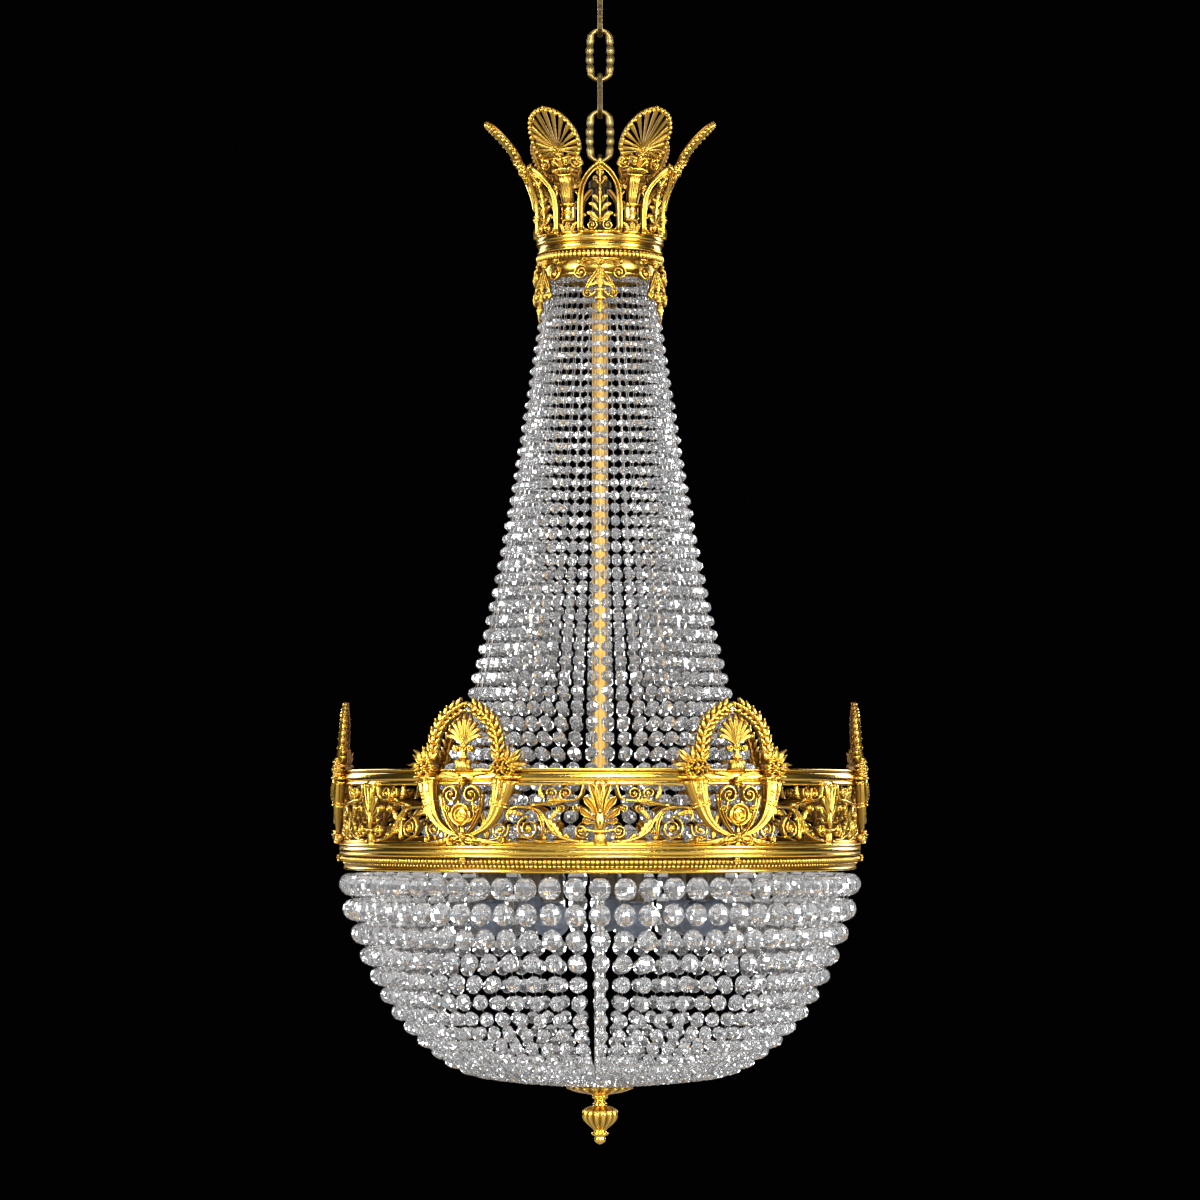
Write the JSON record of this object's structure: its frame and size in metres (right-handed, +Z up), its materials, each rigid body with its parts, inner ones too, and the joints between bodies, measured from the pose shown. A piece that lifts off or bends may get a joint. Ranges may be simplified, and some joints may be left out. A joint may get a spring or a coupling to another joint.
{
  "type": "crystal basket chandelier",
  "caption": "Gilt basket chandelier on a chain: crown, tent of crystal strands, pierced ring with cartouches and a crystal bowl under a circle of lamps.",
  "frame": {"origin": "where the ceiling hook's top touches the inside of the first chain link", "axes": "+Z up, -Y towards the front, +X to the right seen from the front"},
  "size_m": [0.6568, 0.655, 1.4444],
  "materials": {
    "gilt_brass": "bright gilding over cast and chased brass",
    "chain_brass": "aged brass, duller than the gilding",
    "crystal": "clear faceted crystal",
    "frosted_glass": "frosted bulbs, unlit",
    "nickel": "polished nickel",
    "holder_shell": "matt lampholder shells"
  },
  "bodies": {
    "link_1": {"chain_link_1": "chain_brass"},
    "link_2": {"chain_link_2": "chain_brass"},
    "link_3": {"chain_link_3": "chain_brass"},
    "link_4": {"chain_link_4": "chain_brass"},
    "chandelier": {"stem_eye": "gilt_brass", "stem_tube": "gilt_brass", "stem_nuts": "gilt_brass", "stem_coupling": "gilt_brass", "lower_stem": "nickel", "crown_spider": "gilt_brass", "crown_ring": "gilt_brass", "crown_arch_1": "gilt_brass", "crown_arch_2": "gilt_brass", "crown_arch_3": "gilt_brass", "crown_arch_4": "gilt_brass", "crown_arch_5": "gilt_brass", "crown_arch_6": "gilt_brass", "crown_palmette_1": "gilt_brass", "crown_palmette_2": "gilt_brass", "crown_palmette_3": "gilt_brass", "crown_palmette_4": "gilt_brass", "crown_palmette_5": "gilt_brass", "crown_palmette_6": "gilt_brass", "crown_pendant_1": "gilt_brass", "crown_pendant_2": "gilt_brass", "crown_pendant_3": "gilt_brass", "crown_pendant_4": "gilt_brass", "crown_pendant_5": "gilt_brass", "crown_pendant_6": "gilt_brass", "tent_strands_1": "crystal", "tent_strands_2": "crystal", "tent_strands_3": "crystal", "tent_ring": "gilt_brass", "upper_rim": "gilt_brass", "lower_rim": "gilt_brass", "frieze_panel_1": "gilt_brass", "frieze_panel_2": "gilt_brass", "frieze_panel_3": "gilt_brass", "frieze_panel_4": "gilt_brass", "frieze_panel_5": "gilt_brass", "frieze_panel_6": "gilt_brass", "cartouche_1": "gilt_brass", "cartouche_2": "gilt_brass", "cartouche_3": "gilt_brass", "cartouche_4": "gilt_brass", "cartouche_5": "gilt_brass", "cartouche_6": "gilt_brass", "rim_rosettes": "gilt_brass", "ring_spider": "nickel", "lamp_ring": "nickel", "lampholders": "holder_shell", "bulbs": "frosted_glass", "bowl_strands_1": "crystal", "bowl_strands_2": "crystal", "bowl_strands_3": "crystal", "bowl_strands_4": "crystal", "bowl_strands_5": "crystal", "bowl_strands_6": "crystal", "bottom_plate": "gilt_brass", "finial": "gilt_brass"}
  },
  "joints": [
    {"name": "link_2_swing", "type": "hinge", "parent": "link_1", "child": "link_2", "pos_m": [0, 0, -0.04995], "axis": [0, 1, 0], "range_deg": [-20, 20]},
    {"name": "link_3_swing", "type": "hinge", "parent": "link_2", "child": "link_3", "pos_m": [0, 0, -0.10635], "axis": [1, 0, 0], "range_deg": [-20, 20]},
    {"name": "link_4_swing", "type": "hinge", "parent": "link_3", "child": "link_4", "pos_m": [0, 0, -0.15275], "axis": [0, 1, 0], "range_deg": [-20, 20]},
    {"name": "chandelier_swing", "type": "hinge", "parent": "link_4", "child": "chandelier", "pos_m": [0, 0, -0.20915], "axis": [1, 0, 0], "range_deg": [-20, 20]}
  ]
}
